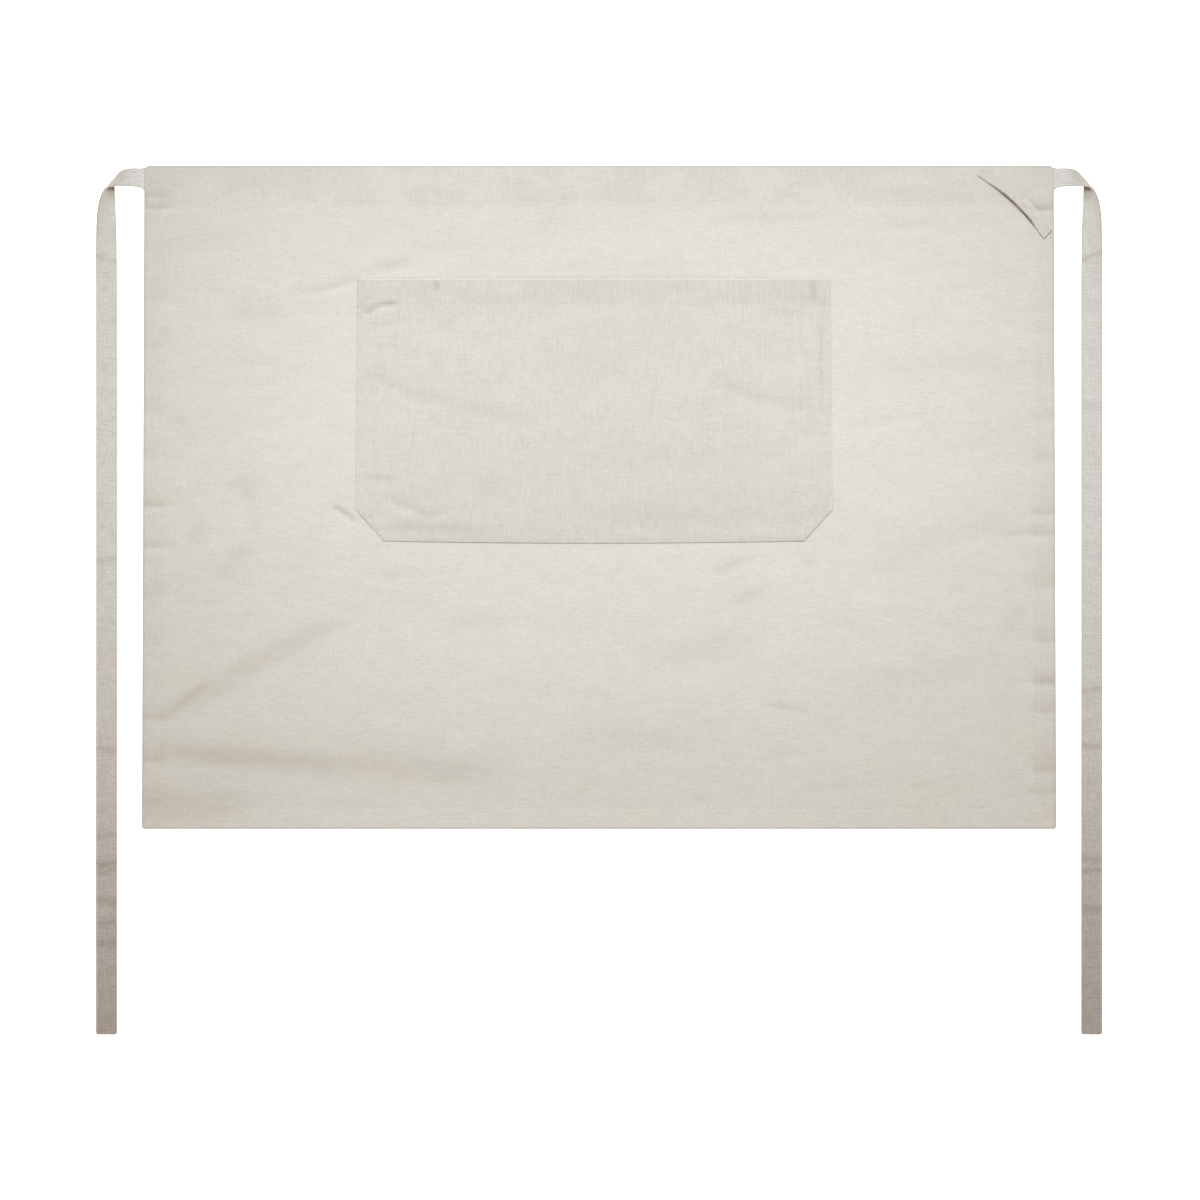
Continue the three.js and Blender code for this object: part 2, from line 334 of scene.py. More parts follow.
def ruled(places, mesh):
    """Places from first to last, each span cut into even cells no longer than mesh."""
    lines = [places[0]]
    for start, end in zip(places, places[1:]):
        cells = max(1, math.ceil((end - start) / mesh - 1e-6))
        lines.extend(start + (end - start) * cell / cells for cell in range(1, cells + 1))
    return np.array(lines)


def between_rims(start, end, marks, mesh):
    """Lines from one folded edge to the other, close together at both edges."""
    near = [start + step for step in rim]
    far = [end - step for step in reversed(rim)]
    inner = [mark for mark in sorted(marks) if near[-1] < mark < far[0]]
    return ruled(near + inner + far, mesh)


def rounded(distance, radius):
    """How thick a folded edge is at a distance from it, from 0 to 1."""
    left = np.clip(1 - distance / radius, 0, 1)
    return np.sqrt(1 - left**2)


def wavy(x, y, waves):
    """Smooth random waves of given lengths across and down."""
    height = np.zeros_like(x)
    for wave in waves:
        knots = np.random.default_rng(wave.seed).uniform(-1, 1, (64, 64))
        column, row = 2 * x / wave.across, 2 * y / wave.down
        left, above = np.floor(column).astype(int), np.floor(row).astype(int)
        across_shares = spline_shares(column - left)
        down_shares = spline_shares(row - above)
        for i, across_share in enumerate(across_shares):
            for j, down_share in enumerate(down_shares):
                knot = knots[(above + j) % 64, (left + i) % 64]
                height += 2.2 * wave.height * across_share * down_share * knot
    return height


def spline_shares(t):
    """The four shares of a smooth curve through evenly spaced knots."""
    return (
        (1 - t) ** 3 / 6,
        (3 * t**3 - 6 * t**2 + 4) / 6,
        (-3 * t**3 + 3 * t**2 + 3 * t + 1) / 6,
        t**3 / 6,
    )


def folded(x, down, folds, wide, tall):
    """How far a table of folds lifts cloth of this width and height, as shares of fold_depth."""
    height = np.zeros_like(x)
    for fold in folds:
        turn = math.radians(fold.turn)
        right = x - fold.x * wide
        up = fold.down * tall - down
        reach = fold.length * wide
        along = (right * math.cos(turn) + up * math.sin(turn)) / reach
        across = up * math.cos(turn) - right * math.sin(turn) - fold.bend * reach * along**2
        across = across / (fold.breadth * wide)
        height += fold.height * np.exp(-(along**4) - across**2)
    return height


def panel_half_width(down):
    return half_panel + panel_flare * down / panel_height


def side_hem_at(x, down):
    """How wide the side hem is: the left one is sewn wider towards the waist."""
    return side_hem + np.where(x < 0, hem_drift * (1 - ease(down, waist_hem, hem_drift_ends)), 0)


def into_single_cloth(x, down):
    """How far a place lies inside the hems, and below 0 on them."""
    to_side = panel_half_width(down) - np.abs(x) - side_hem_at(x, down)
    return np.minimum(np.minimum(to_side, down - waist_hem), panel_height - down - bottom_hem)


def panel_top(x, down):
    """The height of the panel's face above the table."""
    x, down = np.broadcast_arrays(np.asarray(x, float), np.asarray(down, float))
    inside = into_single_cloth(x, down)
    loose = 0.3 + 0.7 * ease(inside, -8, 40)
    height = hem_cloth + lying_gap + loose * wavy(x, down, panel_waves)
    height += fold_depth * folded(x, down, panel_folds, 2 * half_panel, panel_height)
    for ripple in hem_ripples:
        from_edge = panel_half_width(down) - ripple.side * x
        across = (down - ripple.down * panel_height) / (ripple.breadth * 2 * half_panel)
        height += ripple.height * np.exp(-(across**2)) * (1 - ease(from_edge, side_hem, 2.2 * side_hem))
    pucker = np.exp(-(((inside + hem_stitch_in) / 5) ** 2))
    height += 0.16 * pucker * wavy(x, down, [Waves(9, 9, 0.5, 41)])
    lowest = lying_gap + hem_cloth * (1 - ease(inside, 0, 12)) * 0.8
    return np.maximum(height, lowest)


def panel_thickness(x, down):
    return np.where(into_single_cloth(x, down) < 0, hem_cloth, single_cloth)


def make_piece(name, points, faces, finish, layers=None, across=None):
    """A piece from its points and faces, with its finish, slot and the values that vary over it."""
    mesh = bpy.data.meshes.new(name)
    mesh.from_pydata((np.asarray(points) * mm).tolist(), [], faces)
    for layer, values in (layers or {}).items():
        mesh.attributes.new(layer, "FLOAT", "POINT").data.foreach_set("value", values)
    if across is not None:
        corners = np.zeros(len(mesh.loops), int)
        mesh.loops.foreach_get("vertex_index", corners)
        places = (np.asarray(across)[corners] * mm).astype(np.float32)
        mesh.uv_layers.new(name="cloth").data.foreach_set("uv", places.ravel())
    mesh.validate()
    piece = bpy.data.objects.new(name, mesh)
    bpy.context.scene.collection.objects.link(piece)
    mesh.materials.append(finish)
    bpy.ops.object.select_all(action="DESELECT")
    piece.select_set(True)
    bpy.context.view_layer.objects.active = piece
    bpy.ops.object.shade_smooth_by_angle(angle=math.radians(50))
    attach(piece, "root")
    return piece


def make_cloth(name, top, under, finish, layers, across=None, every=3):
    """A closed sheet from the points of its two faces, which meet along its border."""
    rows, columns = top.shape[:2]
    number = np.arange(rows * columns).reshape(rows, columns)
    kept_rows = kept_lines(np.linalg.norm(np.diff(top[:, columns // 2], axis=0), axis=1), every)
    kept_columns = kept_lines(np.linalg.norm(np.diff(top[rows // 2], axis=0), axis=1), every)
    row_grid, column_grid = np.meshgrid(kept_rows[1:-1], kept_columns[1:-1], indexing="ij")
    below = number.copy()
    below[row_grid, column_grid] = rows * columns + np.arange(row_grid.size).reshape(row_grid.shape)
    points = np.concatenate([top.reshape(-1, 3), under[row_grid, column_grid].reshape(-1, 3)])
    faces = np.stack([number[:-1, :-1], number[1:, :-1], number[1:, 1:], number[:-1, 1:]], axis=-1)
    faces = faces.reshape(-1, 4).tolist()
    for above, lower in zip(kept_rows, kept_rows[1:]):
        for left, right in zip(kept_columns, kept_columns[1:]):
            faces.append(back_face(below, above, lower, left, right))

    def spread(values):
        return np.concatenate([values.ravel(), values[row_grid, column_grid].ravel()])

    layers = {layer: spread(values) for layer, values in layers.items()}
    if across is not None:
        across = np.stack([spread(across[..., 0]), spread(across[..., 1])], axis=1)
    return make_piece(name, points, faces, finish, layers, across)


def kept_lines(gaps, every):
    """The lines that the plainer back of a sheet keeps: the close ones and every few others."""
    close = gaps < 0.6 * gaps.max()
    kept = [0]
    for line in range(1, len(gaps)):
        if line % every == 0 or close[line - 1] or close[line]:
            kept.append(line)
    return kept + [len(gaps)]


def back_face(below, above, lower, left, right):
    """One face of a sheet's back, with all the border's points where it meets the border."""
    last_row, last_column = below.shape[0] - 1, below.shape[1] - 1
    down_left = range(above, lower + 1) if left == 0 else (above, lower)
    along_lower = range(left, right + 1) if lower == last_row else (left, right)
    up_right = range(lower, above - 1, -1) if right == last_column else (lower, above)
    along_above = range(right, left - 1, -1) if above == 0 else (right, left)
    ring = [below[row, left] for row in down_left]
    ring += [below[lower, column] for column in along_lower][1:]
    ring += [below[row, right] for row in up_right][1:]
    ring += [below[above, column] for column in along_above][1:-1]
    return [int(point) for point in reversed(ring)]


class Reading:
    """A value that varies over a finish and can be used in sums like a number."""

    def __init__(self, finish, socket):
        self.finish = finish
        self.socket = socket

    def sum(self, operation, first, second):
        return self.finish.node("Math", {"operation": operation}, {0: first, 1: second})

    def __add__(self, other):
        return self.sum("ADD", self, other)

    def __radd__(self, other):
        return self.sum("ADD", other, self)

    def __sub__(self, other):
        return self.sum("SUBTRACT", self, other)

    def __rsub__(self, other):
        return self.sum("SUBTRACT", other, self)

    def __mul__(self, other):
        return self.sum("MULTIPLY", self, other)

    def __rmul__(self, other):
        return self.sum("MULTIPLY", other, self)


class Finish:
    """A material made of nodes."""

    def __init__(self, name):
        self.material = bpy.data.materials.new(name)
        self.material.use_nodes = True
        self.material.node_tree.nodes.clear()

    def node(self, kind, settings, inputs, output=0):
        made = self.material.node_tree.nodes.new("ShaderNode" + kind)
        for setting, value in settings.items():
            setattr(made, setting, value)
        for socket, value in inputs.items():
            if isinstance(value, Reading):
                self.material.node_tree.links.new(value.socket, made.inputs[socket])
            else:
                made.inputs[socket].default_value = value
        return Reading(self, made.outputs[output])

    def layer(self, name):
        return self.node("Attribute", {"attribute_name": name}, {}, "Fac")

    def vector(self, operation, first, second):
        return self.node("VectorMath", {"operation": operation}, {0: first, 1: second})

    def along(self, place, axis):
        return self.node("SeparateXYZ", {}, {0: place}, axis)

    def sine(self, value):
        return self.node("Math", {"operation": "SINE"}, {0: value})

    def clouds(self, place, scale, detail=1.0, rough=0.5, output="Fac"):
        """Smooth random values about 0.5, with so many of them to a metre along each axis."""
        inputs = {"Vector": self.vector("MULTIPLY", place, scale), "Scale": 1.0, "Detail": detail}
        return self.node("TexNoise", {}, {**inputs, "Roughness": rough}, output)

    def only(self, value, start, end):
        """0 where a value is below start, 1 above end."""
        inputs = {"Value": value, "From Min": start, "From Max": end}
        return self.node("MapRange", {"interpolation_type": "SMOOTHSTEP"}, inputs)

    def blend(self, share, first, second, way="MIX"):
        """One colour passing into another, or multiplied by it."""
        settings = {"data_type": "RGBA", "blend_type": way}
        return self.node("Mix", settings, {0: share, 6: first, 7: second}, 2)

    def surface(self, inputs):
        shader = self.node("BsdfPrincipled", {}, inputs)
        end = self.material.node_tree.nodes.new("ShaderNodeOutputMaterial")
        self.material.node_tree.links.new(shader.socket, end.inputs["Surface"])
        return self.material


def shaded(colour, shares):
    """A colour with each part multiplied."""
    return tuple(part * share for part, share in zip(colour, shares)) + (1,)


# The colour of the painted shade along the edges of the cloth
painted_edge_shade_tone = (0.40, 0.41, 0.385, 1)


def linen(name, colour, doubled, upright, dark, on_strip=False, end_shade_colour=None, uneven=1.0):
    """Plain linen: uneven threads both ways, dark and pale ones here and there, a fine weave.

    doubled is the tone where the cloth is turned over, as shares of colour, upright is how much
    the upright threads show, dark is the colour of painted shade deep in a fold, in creases and in
    shadows, and uneven is how much the tone of the threads varies. The threads of a strip run along
    it, and the end colour is painted shade that darkens a tie towards its end, where the light falls
    off. The rim layer paints shade along the edges, the dark layer paints shade and marks, and the
    pale layer makes places paler, some of them with painted highlights.
    """
    finish = Finish(name)
    if on_strip:
        spot = finish.node("UVMap", {"uv_map": "cloth"}, {})
    else:
        spot = finish.node("TexCoord", {}, {}, "Object")
    thick = finish.layer("doubled")
    turned_over = thick * (0.2 + finish.only(finish.clouds(spot, (24, 38, 24), 2.0), 0.38, 0.60) * 1.1)
    tone = finish.blend(turned_over, shaded(colour, (1, 1, 1)), shaded(colour, doubled))
    # Painted shade that darkens a tie towards its end, where the light falls off
    if end_shade_colour:
        painted_shade_towards_end = finish.layer("painted_shade_towards_end")
        tone = finish.blend(painted_shade_towards_end, tone, end_shade_colour)
        uneven = painted_shade_towards_end * 1.3 + uneven
    warmth = finish.only(finish.clouds(spot, (13, 20, 13), 2.0), 0.46, 0.64)
    tone = finish.blend(warmth * 0.6, tone, (1.0, 0.985, 0.97, 1), "MULTIPLY")

    weft = finish.clouds(spot, (95, 620, 95))
    warp = finish.clouds(spot, (620, 85, 85))
    grain = finish.clouds(spot, (560, 640, 560), 0.0)
    blotches = finish.clouds(spot, (36, 90, 36), 3.0)
    slubs = finish.only(finish.clouds(spot, (62, 700, 62), 2.0, 0.6), 0.62, 0.74)
    upright_slubs = finish.only(finish.clouds(spot, (700, 50, 50), 2.0, 0.6), 0.62, 0.74)
    specks = finish.only(finish.clouds(spot, (330, 480, 330), 0.0), 0.74, 0.80)
    across = 1.0 - thick * 0.3
    up = upright + thick * (1.5 - upright)

    threads = (weft - 0.5) * across * 0.13 + (warp - 0.5) * up * 0.12
    threads = threads + (grain - 0.5) * 0.12 + (blotches - 0.5) * 0.08
    # The pale layer makes places paler, some of them with painted highlights
    shade = 1.0 + threads * uneven + finish.layer("pale") * 0.035
    tone = finish.blend(1.0, tone, shade, "MULTIPLY")
    # Painted shade along the edges from the rim layer, then painted shade and the pocket's bar of
    # stitches from the dark layer
    tone = finish.blend(finish.layer("rim") * 0.5, tone, painted_edge_shade_tone)
    painted_shade_and_marks = finish.layer("dark") * (0.5 + finish.clouds(spot, (55, 120, 55), 2.0))
    tone = finish.blend(painted_shade_and_marks, tone, dark)
    dark_thread = shaded(colour, (0.80, 0.75, 0.69))
    tone = finish.blend(slubs * across * 0.36 + upright_slubs * up * 0.22, tone, dark_thread)
    tone = finish.blend(specks * 0.5, tone, shaded(colour, (0.93, 0.80, 0.68)))

    drift = finish.clouds(spot, (70, 70, 70), output="Color")
    bent = finish.vector("ADD", spot, finish.vector("MULTIPLY", drift, (0.0016, 0.0016, 0)))
    turns = 2 * math.pi / (2 * thread_pitch * mm)
    weave = finish.sine(finish.along(bent, "X") * turns) * finish.sine(finish.along(bent, "Y") * turns)
    relief = weave * 0.28 + weft * 0.8 + warp * up + grain * 0.6
    bump = finish.node("Bump", {}, {"Strength": 0.32, "Distance": 0.00035, "Height": relief})
    return finish.surface(
        {
            "Base Color": tone,
            "Roughness": 0.92,
            "Specular IOR Level": 0.2,
            "Sheen Weight": 0.08,
            "Sheen Roughness": 0.5,
            "Normal": bump,
        }
    )


def thread_finish():
    finish = Finish("thread")
    spot = finish.node("TexCoord", {}, {}, "Object")
    twist = finish.clouds(spot, (1500, 1500, 1500))
    tone = finish.blend(twist, (0.78, 0.76, 0.72, 1), (0.92, 0.90, 0.87, 1))
    return finish.surface({"Base Color": tone, "Roughness": 0.7, "Specular IOR Level": 0.3})


linen_tone = (0.724, 0.700, 0.638)
pocket_tone = (0.680, 0.653, 0.600)
tie_tone = (0.703, 0.681, 0.640)
# Painted shade that darkens the ties towards their ends, where the light falls off
tie_end_shade_tone = (0.474, 0.422, 0.386, 1)
loop_tone = (0.682, 0.658, 0.609)
# The colour of painted shade in the creases of the panel and pocket, above the side hems' tucks, at the
# edges of the pocket's folded-under band and under its lower edges; it also colours the pocket's bar of
# stitches
painted_shade_and_mark_tone = (0.30, 0.22, 0.16, 1)
# The colour of painted shadow under the ties' folds, in their creases, and along the loop's lower edge,
# round its ends and beside its fold
painted_shadow_tone = (0.17, 0.085, 0.05, 1)

panel_linen = linen("panel_linen", linen_tone, (0.925, 0.912, 0.93), 0.5, painted_shade_and_mark_tone)
pocket_linen = linen("pocket_linen", pocket_tone, (0.965, 0.953, 0.963), 1.2, painted_shade_and_mark_tone)
tie_linen = linen(
    "tie_linen", tie_tone, (1.05, 1.07, 1.10), 0.9, painted_shadow_tone, True, tie_end_shade_tone, uneven=2.0
)
# The loop's doubled tone is paler than its cloth: a painted highlight on the facet of its fold
loop_linen = linen("loop_linen", loop_tone, (1.08, 1.09, 1.10), 0.8, painted_shadow_tone, True)
sewing_thread = thread_finish()


def make_panel():
    """The panel: single cloth within, and thicker where its edges are turned to the back."""
    stitch = (-0.7, 0, 0.7)
    step = (-0.4, 0.4)
    column_marks = [-half_panel + side_hem + s for s in step]
    column_marks += [-half_panel + side_hem - hem_stitch_in + s for s in stitch]
    column_marks += [-mark for mark in column_marks]
    columns = between_rims(-half_panel, half_panel, column_marks, panel_mesh)
    row_marks = [2.2, 3.4, upper_corner, panel_height - lower_corner]
    row_marks += [waist_hem + s for s in step] + [waist_hem - hem_stitch_in + s for s in stitch]
    row_marks += [panel_height - bottom_hem + s for s in step]
    tucks = [ripple.down * panel_height for ripple in hem_ripples if ripple.height < tuck_height]
    row_marks += [tuck + s for tuck in tucks for s in (-0.1, 1.2)]
    row_marks += [panel_height - bottom_hem + hem_stitch_in + s for s in stitch]
    rows = between_rims(0, panel_height, row_marks, panel_mesh)
    column, row = np.meshgrid(columns, rows)

    reach = panel_half_width(row)
    x = column * reach / half_panel
    for corner, distance in ((upper_corner, row), (lower_corner, panel_height - row)):
        left = np.clip(corner - distance, 0, None)
        inset = corner - np.sqrt(corner**2 - left**2)
        x = x - np.sign(x) * inset * np.clip((np.abs(x) - reach + corner_reach) / corner_reach, 0, 1)

    edge = np.minimum(np.minimum(half_panel - np.abs(column), row), panel_height - row)
    inside = into_single_cloth(column, row)
    thick = np.where(inside < 0, hem_cloth, single_cloth)
    groove = groove_depth * np.exp(-(((inside + hem_stitch_in) / 0.6) ** 2))
    face = panel_top(x, row) - groove
    drawn_in = thick / 2 * (1 - rounded(edge, hem_fold_radius))
    y = waist_edge - row
    top = np.stack([x, y, face - drawn_in], axis=-1)
    under = np.stack([x, y, np.maximum(face - thick + drawn_in, table_gap)], axis=-1)
    at_side = ease(side_hem_at(column, row) - half_panel + np.abs(column), -2.5, 1.5)
    at_waist = ease(waist_hem - row, -2, 1)
    at_bottom = ease(row, panel_height - bottom_hem - 1, panel_height - bottom_hem + 3)
    at_bottom *= 1 - 0.75 * ease(x, 0.3 * half_panel, 0.6 * half_panel)
    # A painted highlight on the panel just above the pocket's mouth
    painted_highlight_above_mouth = ease(row, pocket_drop - 12, pocket_drop)
    painted_highlight_above_mouth *= 1 - ease(row, pocket_drop + 1, pocket_drop + 6)
    beside_pocket = ease(np.abs(x - pocket_middle), 0.42 * pocket_width, 0.5 * pocket_width)
    painted_highlight_above_mouth *= 1.8 * (1 - beside_pocket)
    # Painted shade along the panel's edges, stronger at the waist edge and weaker beside the ties
    painted_edge_shade = (1 - ease(edge, 0.3, 1.9)) * np.where(row < hem_fold_radius, 1.8, 1)
    beside_tie = ease(row, 2.5, 4.5) * (1 - ease(row, 19, 21))
    # Painted shade in the creases of the panel's folds, and above the tucks of its side hems
    creases = folded(x, row, panel_folds, 2 * half_panel, panel_height)
    dark = fold_painted_shade * np.clip(-creases, 0, None)
    for ripple in hem_ripples:
        above = (ripple.down * panel_height - row) / (ripple.breadth * 2 * half_panel)
        fading = np.where(above > 0, np.exp(-above / 1.6), np.exp(-((above / 0.3) ** 2)))
        on_hem = 1 - ease(panel_half_width(row) - ripple.side * x, side_hem, 1.5 * side_hem)
        dark += tuck_painted_shade * ripple.height**2 * fading * on_hem
    layers = {
        "doubled": np.maximum(0.25 * at_side, 0.5 * at_waist),
        "pale": np.maximum(at_bottom, painted_highlight_above_mouth),
        "rim": painted_edge_shade * (1 - 0.8 * beside_tie),
        "dark": dark,
    }
    piece = make_cloth("panel_cloth", top, under, panel_linen, layers)
    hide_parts("apron_panel")


def pocket_half_width(down):
    cut = np.maximum(0, down - (pocket_height - pocket_cut_up)) / pocket_cut_up
    return pocket_width / 2 + pocket_flare * down / pocket_height - pocket_cut_across * cut


def pocket_place(across, down):
    """Where a spot of the pocket is: across from -1 to 1, down from its mouth."""
    x = pocket_middle + across * pocket_half_width(down)
    sag = pocket_sag * (1 - across**2) * down / pocket_height
    return x, pocket_drop + down + sag


def pocket_build(across, down):
    """The pocket's underside and the thickness of its cloth there."""
    x, below = pocket_place(across, down)
    full = np.sin(np.clip((1 - down / pocket_height) / pocket_full_height, 0, 1) * math.pi / 2)
    belly = pocket_belly * (1 - across**4) * full
    half = pocket_half_width(down)
    from_left = (across + 1) * half
    from_right = (1 - across) * half
    seen = wavy(x, below, pocket_waves)
    seen += fold_depth * folded(x - pocket_middle, down, pocket_folds, pocket_width, pocket_height)
    edge = np.minimum(np.minimum(from_left, from_right), pocket_height - down)
    seams = np.exp(-((edge / 6) ** 2)) * wavy(x, below, [Waves(8, 8, 0.09, 42)])
    under = panel_top(x, below) + cloth_gap + belly + 0.35
    hem = 1 - ease(down, pocket_hem - 0.4, pocket_hem + 0.8)
    right_band = 1 - ease(from_right, pocket_turn_in - 0.4, pocket_turn_in + 0.8)
    other_band = 1 - ease(np.minimum(from_left, pocket_height - down), 9, 11)
    thick = single_cloth + 0.12 * hem + 0.3 * right_band + 0.08 * other_band
    thick = thick * (0.5 + 0.5 * ease(edge, 0, 2.5))
    loose = ease(edge, 0, 12)
    return x, below, under + (seen + 0.35) * loose - 0.35 + seams * 0.5, thick


def make_pocket():
    """The pocket, sewn down at its sides and lower edge and a little open at its mouth."""
    half = pocket_width / 2
    stitch = [pocket_stitch_in + s for s in (-0.6, 0, 0.6)]
    hem_marks = [pocket_hem + s for s in (-0.4, 0, 0.8)]
    hem_marks += [pocket_hem - pocket_hem_stitch_in - s for s in (0, 0.6)]
    side_marks = [half - s for s in stitch] + [half - pocket_turn_in + s for s in (0.4, -0.2, -0.8)]
    side_marks += [-mark for mark in side_marks]
    columns = between_rims(-half, half, side_marks, pocket_mesh) / half
    row_marks = hem_marks + [pocket_height - pocket_cut_up] + [pocket_height - s for s in stitch]
    rows = between_rims(0, pocket_height, row_marks, pocket_mesh)
    across, down = np.meshgrid(columns, rows)
    x, below, under_height, thick = pocket_build(across, down)
    edge = np.minimum(np.minimum((1 - np.abs(across)) * half, down), pocket_height - down)
    drawn_in = thick / 2 * (1 - rounded(edge, pocket_fold_radius))
    seam = np.minimum((1 - np.abs(across)) * half, pocket_height - down)
    groove = groove_depth * np.exp(-(((seam - pocket_stitch_in) / 0.5) ** 2))
    groove += groove_depth / 3 * np.exp(-(((down - pocket_hem + pocket_hem_stitch_in) / 0.5) ** 2))
    y = waist_edge - below
    top = np.stack([x, y, under_height + thick - drawn_in - groove], axis=-1)
    under = np.stack([x, y, under_height + drawn_in], axis=-1)
    hem = 1 - ease(down, pocket_hem - 0.3, pocket_hem + 0.3)
    # Painted shade in the pocket's creases, and at the places of the table above
    creases = folded(x - pocket_middle, down, pocket_folds, pocket_width, pocket_height)
    dark = fold_painted_shade * np.clip(-creases, 0, None)
    for mark in pocket_marks:
        aside = (x - pocket_middle) / pocket_width - mark.x
        below_mark = down / pocket_height - mark.down
        spot = np.exp(-((aside / mark.across) ** 2) - (below_mark / mark.tall) ** 4)
        dark = np.maximum(dark, mark.dark * spot)
    # Painted highlights along the pocket's lower sewn edges and along the edge of its mouth
    low_seam = ease(down, pocket_height - pocket_cut_up - 4, pocket_height - pocket_cut_up)
    painted_highlight_along_seam = 4 * low_seam * np.exp(-(((seam - 1.3) / 0.7) ** 2))
    painted_highlight_at_mouth = 1.5 * (1 - ease(down, 0.3, 1.2))
    # The rim layer paints shadow along the pocket's left edge, and the dark layer also paints shadow
    # under its lower edges
    layers = {
        "doubled": hem,
        "rim": np.where(across < 0, 0.4, 0) * (1 - low_seam) * (1 - ease(seam, 0.1, 0.9)),
        "pale": painted_highlight_along_seam + painted_highlight_at_mouth,
        "dark": np.maximum(dark, 0.35 * low_seam * (1 - ease(seam, 0, 0.5))),
    }
    piece = make_cloth("pocket_cloth", top, under, pocket_linen, layers)
    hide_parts("pocket")


def smooth_line(points, shares):
    """Points along a smooth line through the given ones, shares running from 0 to 1."""
    points = np.asarray(points, float)
    points = np.vstack([2 * points[0] - points[1], points, 2 * points[-1] - points[-2]])
    place = shares * (len(points) - 3)
    start = np.minimum(place.astype(int), len(points) - 4)
    t = (place - start)[:, None]
    before, first, second, after = (points[start + step] for step in range(4))
    straight = (second - before) * t
    curved = (2 * before - 5 * first + 4 * second - after) * t**2
    turned = (3 * first - before - 3 * second + after) * t**3
    return (2 * first + straight + curved + turned) / 2


class Strip:
    """A flat strip of cloth between two edge lines, x out, y up from the waist edge, z high."""

    def __init__(self, first, second):
        self.first = first
        self.second = second
        middle = (first + second) / 2
        self.run = np.concatenate([[0], np.cumsum(np.linalg.norm(np.diff(middle, axis=0), axis=1))])
        self.first_way = np.gradient(first, axis=0)
        self.second_way = np.gradient(second, axis=0)

    def at(self, station, share):
        """Points and outward ways at stations, share running from the first edge to the second."""
        count = np.arange(len(self.first))

        def pick(line):
            return np.stack([np.interp(station, count, line[:, axis]) for axis in range(3)], axis=-1)

        first, second = pick(self.first), pick(self.second)
        first_way, second_way = pick(self.first_way), pick(self.second_way)
        share = share[..., None]
        way = first_way * (1 - share) + second_way * share
        out = np.cross(way, first - second)
        out = out / np.linalg.norm(out, axis=-1, keepdims=True)
        return first * (1 - share) + second * share, out


def tie_strip():
    """The tie as a strip, before it is set on its side of the panel."""
    turn_shares = np.linspace(0, 1, 131)
    upper = [(row.upper_out, row.upper_up, row.upper_high) for row in tie_turn]
    lower = [(row.lower_out, row.lower_up, row.lower_high) for row in tie_turn]
    place = np.array([tie_seam_gap, -tie_seat, tie_cloth / 2])
    upper = smooth_line(upper, turn_shares) * tie_width + place
    lower = smooth_line(lower, turn_shares) * tie_width + place
    fall_start = -upper[-1, 1]
    falls = ruled([fall_start, tie_bottom - tie_corner, tie_bottom], tie_mesh)[1:]
    corner_falls = [tie_bottom - step for step in (1.5, 1.0, 0.6, 0.3, 0.1)]
    falls = np.array(sorted([*falls, *corner_falls]))

    def fallen(end):
        return np.stack([np.full_like(falls, end[0]), -falls, np.full_like(falls, end[2])], axis=-1)

    inwards = np.array([[-tie_sewn_in - tie_seam_gap, 0, 0], [-tie_sewn_in / 2, 0, 0]])
    upper = np.vstack([upper[0] + inwards, upper, fallen(upper[-1])])
    lower = np.vstack([lower[0] + inwards, lower, fallen(lower[-1])])
    return Strip(upper, lower)


tie_line = tie_strip()


def tie_creased(side, down, share):
    """How high the creases across a tie are at a place."""
    height = np.zeros_like(down)
    for crease in tie_creases:
        if crease.side == side:
            across = down - crease.down * panel_height - crease.slant * (share - 0.5)
            height += crease.height * np.exp(-((across / crease.breadth) ** 2))
    return height


def tie_points(side, station, share, face):
    """Points on a tie's face, 1 for the face that is up at the seam and -1 for its back."""
    centre, out = tie_line.at(station, share)
    down = -centre[..., 1]
    run = np.interp(station, np.arange(len(tie_line.run)), tie_line.run)
    from_edge = np.minimum(share, 1 - share) * tie_width
    left = np.clip(tie_corner - (tie_bottom - down), 0, tie_corner)
    inset = tie_corner - np.sqrt(tie_corner**2 - left**2)
    centre[..., 0] += (1 - 2 * share) * inset
    lying = ease(run, 60, 130)
    wobble = wavy(np.full_like(run, 40.0 * side), run, [Waves(90, 420, 0.1, 33)])
    centre[..., 0] += side * wobble * lying
    lift = tie_lying_gap + np.abs(wavy(share * tie_width + 50 * side, run, tie_waves)) * 0.9
    lift += tie_creased(side, down, share)
    centre[..., 2] += lift * lying
    ends = np.minimum(from_edge, tie_bottom - down)
    half = tie_cloth / 2 * rounded(np.maximum(ends, 0), 0.45)
    point = centre + out * (face * half)[..., None]
    point[..., 0] = side * (panel_half_width(tie_seat) + point[..., 0])
    point[..., 1] += waist_edge
    return point, out * np.array([side, 1, 1]) * face[..., None]


def tie_shade(side, station, share, run):
    """The painted shade under a tie's own fold and in its creases."""
    centre, _ = tie_line.at(station, share)
    out, down = centre[..., 0], -centre[..., 1]
    below_fold = down - 19 - 0.25 * np.clip(out - 26, 0, None)
    reach = 4.2 - 2 * ease(out, 26, 33)
    under_fold = np.where(run > tie_under_fold, 1 - ease(out, 32, 37), 0)
    dark = under_fold * np.exp(-((below_fold / reach) ** 2))
    return dark + tie_crease_painted_shade * tie_creased(side, down, share)


